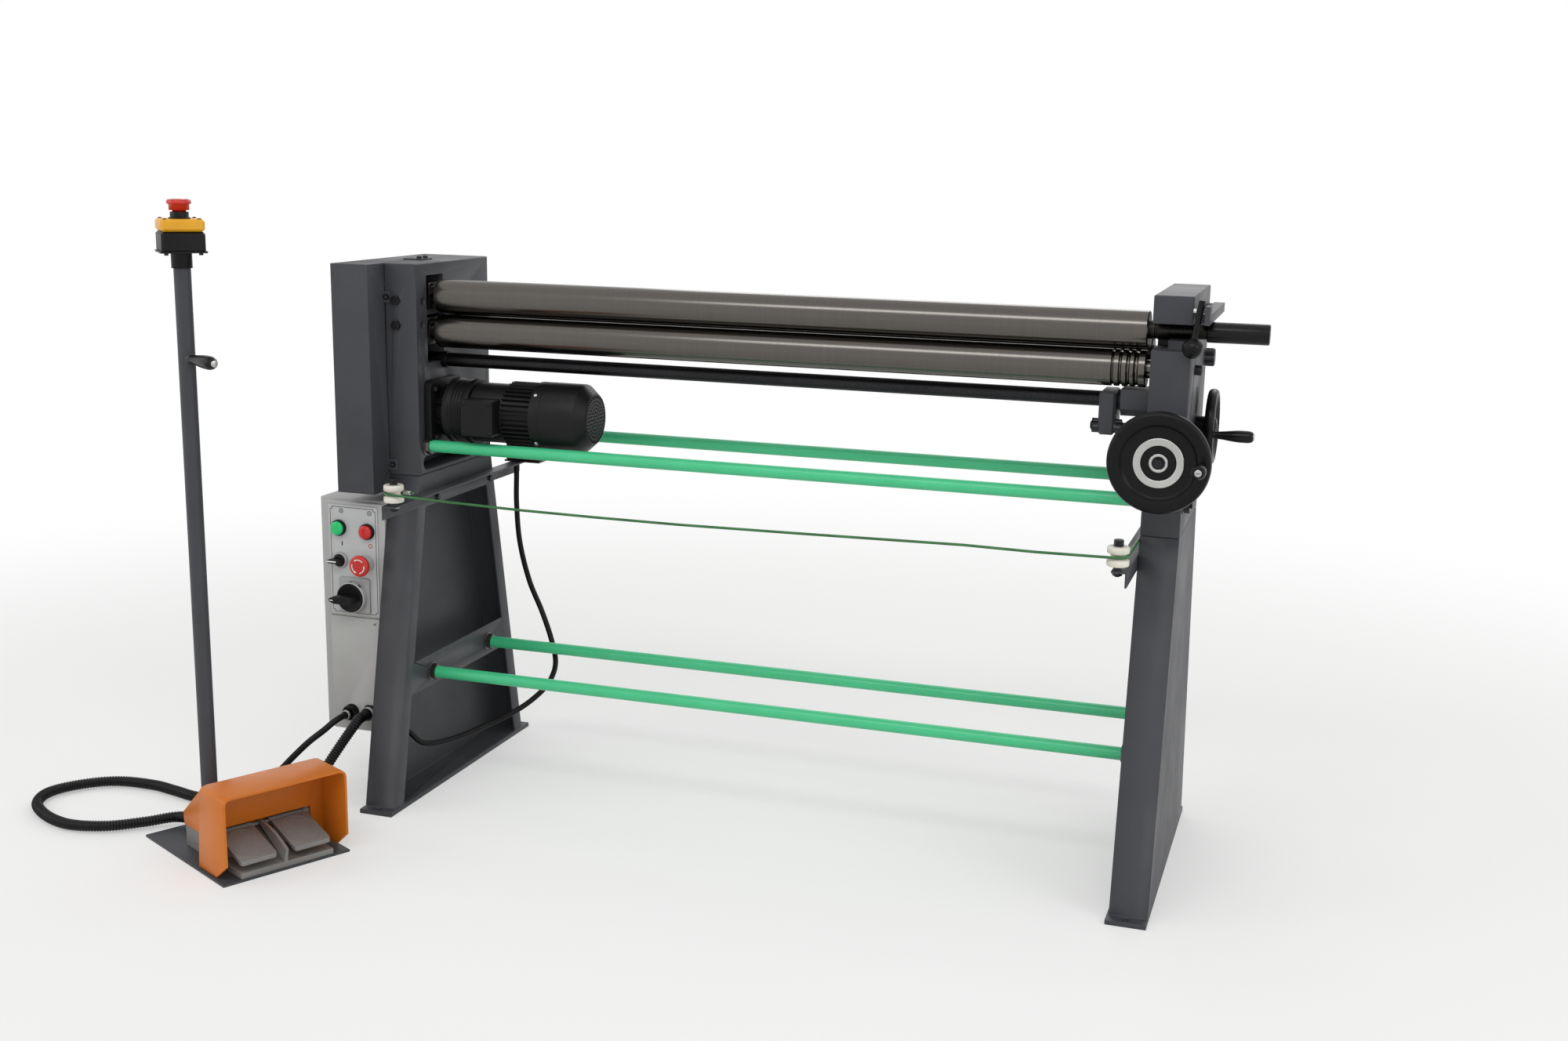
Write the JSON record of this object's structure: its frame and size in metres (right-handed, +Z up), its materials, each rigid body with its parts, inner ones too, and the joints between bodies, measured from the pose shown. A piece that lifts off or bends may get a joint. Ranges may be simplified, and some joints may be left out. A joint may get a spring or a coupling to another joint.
{
  "type": "plate rolling machine",
  "caption": "Motor-driven plate rolling machine with geared rolls between two heads on floor stands, handwheels, control cabinet and a pedal station with a stop pole.",
  "frame": {"origin": "bottom centre of the bounding box of everything but the cords, at floor level", "axes": "+X along the rolls towards the handwheels, +Y to the rear, +Z up"},
  "size_m": [2.1092, 0.9226, 1.101],
  "materials": {
    "charcoal_hammer_paint": "semi-gloss hammer paint",
    "charcoal_motor_paint": "smooth semi-gloss paint",
    "mint_green_paint": "semi-gloss paint",
    "orange_enamel": "semi-gloss enamel",
    "grey_casting_paint": "satin paint on castings",
    "yellow_plastic": "semi-gloss plastic",
    "light_grey_paint": "satin powder coat",
    "silver_panel_film": "satin film on a plate",
    "ground_steel": "ground and polished",
    "gear_steel": "machined",
    "black_oxide_iron": "dark machined iron",
    "black_wheel_paint": "gloss black paint",
    "black_plastic": "satin plastic",
    "red_plastic": "gloss plastic",
    "green_lens": "translucent lens",
    "off_white_nylon": "satin nylon",
    "green_coated_rope": "plastic-coated wire rope",
    "black_hose": "satin jacket"
  },
  "bodies": {
    "machine_frame": {"left_stand": "charcoal_hammer_paint", "right_stand": "charcoal_hammer_paint", "left_head": "charcoal_hammer_paint", "right_head": "charcoal_hammer_paint", "gear_guard": "charcoal_hammer_paint", "upper_front_rod": "mint_green_paint", "upper_rear_rod": "mint_green_paint", "lower_front_rod": "mint_green_paint", "lower_rear_rod": "mint_green_paint", "latch_bar": "charcoal_hammer_paint", "shaft_bracket": "charcoal_hammer_paint", "gear_reducer": "charcoal_motor_paint", "motor_body": "charcoal_motor_paint", "motor_cowl": "charcoal_motor_paint", "control_cabinet": "light_grey_paint", "control_panel": "silver_panel_film", "green_lamp": "green_lens", "red_lamp": "red_plastic", "rope_bracket_left": "charcoal_hammer_paint", "rope_bracket_right": "charcoal_hammer_paint", "rope_switch": "red_plastic", "emergency_rope": "green_coated_rope", "switch_cable": "black_hose", "estop_cable": "black_hose", "pedal_hose": "black_hose", "pedal_floor_plate": "charcoal_hammer_paint", "pedal_base": "grey_casting_paint", "pedal_guard": "orange_enamel", "estop_pole": "charcoal_hammer_paint", "estop_box_base": "black_plastic", "estop_box_lid": "yellow_plastic"},
    "top_swing": {"top_swing_bearing": "black_oxide_iron"},
    "top_roll": {"top_roll": "ground_steel", "top_roll_gear": "gear_steel"},
    "top_roll_grip": {"top_roll_grip": "black_plastic"},
    "lock_lever": {"lock_lever": "black_wheel_paint"},
    "bottom_carriage": {"bottom_bearing_left": "black_oxide_iron", "bottom_bearing_right": "black_oxide_iron"},
    "bottom_roll": {"bottom_roll": "ground_steel", "drive_gear": "gear_steel"},
    "pinion": {"drive_pinion": "gear_steel"},
    "rear_carriage": {"rear_bearing_left": "black_oxide_iron", "rear_bearing_right": "black_oxide_iron"},
    "rear_roll": {"rear_roll": "ground_steel"},
    "lift_shaft": {"cross_shaft": "black_oxide_iron"},
    "front_wheel": {"front_handwheel": "black_wheel_paint"},
    "front_grip": {"front_crank_grip": "black_plastic"},
    "side_wheel": {"side_handwheel": "black_wheel_paint"},
    "side_grip": {"side_crank_grip": "black_plastic"},
    "panel_stop": {"panel_estop_button": "red_plastic"},
    "pole_stop": {"pole_estop_button": "red_plastic"},
    "selector": {"selector_knob": "black_plastic"},
    "main_switch": {"main_switch_knob": "black_plastic"},
    "left_pedal": {"left_pedal": "grey_casting_paint"},
    "right_pedal": {"right_pedal": "grey_casting_paint"},
    "left_pulley": {"left_pulley": "off_white_nylon"},
    "right_pulley": {"right_pulley": "off_white_nylon"},
    "rear_pulley": {"rear_pulley": "off_white_nylon"},
    "pole_grip": {"pole_grip": "black_plastic"}
  },
  "joints": [
    {"name": "top_roll_swing", "type": "hinge", "parent": "machine_frame", "child": "top_swing", "pos_m": [-0.63291, 0.11425, 0.927], "axis": [0, 0, -1], "range_deg": [0, 8]},
    {"name": "top_roll_spin", "type": "hinge", "parent": "top_swing", "child": "top_roll", "pos_m": [0.08709, 0.11425, 0.927], "axis": [1, 0, 0], "continuous": true},
    {"name": "top_roll_grip_turn", "type": "hinge", "parent": "top_roll", "child": "top_roll_grip", "pos_m": [0.81209, 0.11425, 0.927], "axis": [1, 0, 0], "continuous": true},
    {"name": "lock_lever_lift", "type": "hinge", "parent": "machine_frame", "child": "lock_lever", "pos_m": [0.80609, 0.03225, 0.966], "axis": [-1, 0, 0], "range_deg": [0, 150]},
    {"name": "front_handwheel_turn", "type": "hinge", "parent": "machine_frame", "child": "front_wheel", "pos_m": [0.76359, -0.03575, 0.737], "axis": [0, -1, 0], "range_deg": [0, 270]},
    {"name": "bottom_roll_lift", "type": "slide", "parent": "machine_frame", "child": "bottom_carriage", "axis": [0, 0, 1], "range_m": [0, 0.0027]},
    {"name": "bottom_roll_spin", "type": "hinge", "parent": "bottom_carriage", "child": "bottom_roll", "pos_m": [0.08709, 0.11425, 0.864], "axis": [1, 0, 0], "continuous": true},
    {"name": "pinion_spin", "type": "hinge", "parent": "machine_frame", "child": "pinion", "pos_m": [-0.65091, 0.12425, 0.71834], "axis": [1, 0, 0], "continuous": true},
    {"name": "cross_shaft_turn", "type": "hinge", "parent": "machine_frame", "child": "lift_shaft", "pos_m": [0.08709, 0.14325, 0.8083], "axis": [1, 0, 0], "range_deg": [0, 270]},
    {"name": "front_crank_grip_turn", "type": "hinge", "parent": "front_wheel", "child": "front_grip", "pos_m": [0.82809, -0.03605, 0.734], "axis": [0, -1, 0], "continuous": true},
    {"name": "side_handwheel_turn", "type": "hinge", "parent": "machine_frame", "child": "side_wheel", "pos_m": [0.81209, 0.21825, 0.762], "axis": [1, 0, 0], "range_deg": [-720, 720]},
    {"name": "rear_roll_lift", "type": "slide", "parent": "machine_frame", "child": "rear_carriage", "axis": [0, 0, 1], "range_m": [-0.02, 0.02]},
    {"name": "rear_roll_spin", "type": "hinge", "parent": "rear_carriage", "child": "rear_roll", "pos_m": [0.08709, 0.18925, 0.88], "axis": [1, 0, 0], "continuous": true},
    {"name": "side_crank_grip_turn", "type": "hinge", "parent": "side_wheel", "child": "side_grip", "pos_m": [0.82839, 0.16825, 0.756], "axis": [1, 0, 0], "continuous": true},
    {"name": "panel_estop_press", "type": "slide", "parent": "machine_frame", "child": "panel_stop", "axis": [0, 1, 0], "range_m": [0, 0.005], "stiffness_N_per_m": 900, "springref_m": -0.001},
    {"name": "pole_estop_press", "type": "slide", "parent": "machine_frame", "child": "pole_stop", "axis": [0, 0, -1], "range_m": [0, 0.005], "stiffness_N_per_m": 900, "springref_m": -0.001},
    {"name": "selector_turn", "type": "hinge", "parent": "machine_frame", "child": "selector", "pos_m": [-0.71491, 0.01645, 0.441], "axis": [0, -1, 0], "range_deg": [-45, 45]},
    {"name": "main_switch_turn", "type": "hinge", "parent": "machine_frame", "child": "main_switch", "pos_m": [-0.68891, 0.00715, 0.374], "axis": [0, -1, 0], "range_deg": [-90, 0]},
    {"name": "left_pedal_press", "type": "hinge", "parent": "machine_frame", "child": "left_pedal", "pos_m": [-0.70081, -0.36014, 0.056], "axis": [0.471, 0.8821, 0], "range_deg": [0, 8], "stiffness_Nm_per_rad": 6, "springref_deg": -2.86},
    {"name": "right_pedal_press", "type": "hinge", "parent": "machine_frame", "child": "right_pedal", "pos_m": [-0.65465, -0.27369, 0.056], "axis": [0.471, 0.8821, 0], "range_deg": [0, 8], "stiffness_Nm_per_rad": 6, "springref_deg": -2.86},
    {"name": "left_pulley_spin", "type": "hinge", "parent": "machine_frame", "child": "left_pulley", "pos_m": [-0.54241, -0.07575, 0.5967], "axis": [0, 0, 1], "continuous": true},
    {"name": "right_pulley_spin", "type": "hinge", "parent": "machine_frame", "child": "right_pulley", "pos_m": [0.71659, -0.07575, 0.5967], "axis": [0, 0, 1], "continuous": true},
    {"name": "rear_pulley_spin", "type": "hinge", "parent": "machine_frame", "child": "rear_pulley", "pos_m": [0.71659, 0.41625, 0.5967], "axis": [0, 0, 1], "continuous": true},
    {"name": "pole_grip_turn", "type": "hinge", "parent": "machine_frame", "child": "pole_grip", "pos_m": [-0.80509, -0.26308, 0.838], "axis": [0.8821, -0.471, 0], "continuous": true}
  ],
  "couplings": [
    {"joint": "top_roll_spin", "follows": "bottom_roll_spin", "ratio": -1},
    {"joint": "pinion_spin", "follows": "bottom_roll_spin", "ratio": -2.8421},
    {"joint": "lock_lever_lift", "follows": "top_roll_swing", "ratio": 18},
    {"joint": "front_handwheel_turn", "follows": "bottom_roll_lift", "rad_per_m": 1745.3},
    {"joint": "cross_shaft_turn", "follows": "bottom_roll_lift", "rad_per_m": 1745.3},
    {"joint": "side_handwheel_turn", "follows": "rear_roll_lift", "rad_per_m": 628.3}
  ]
}
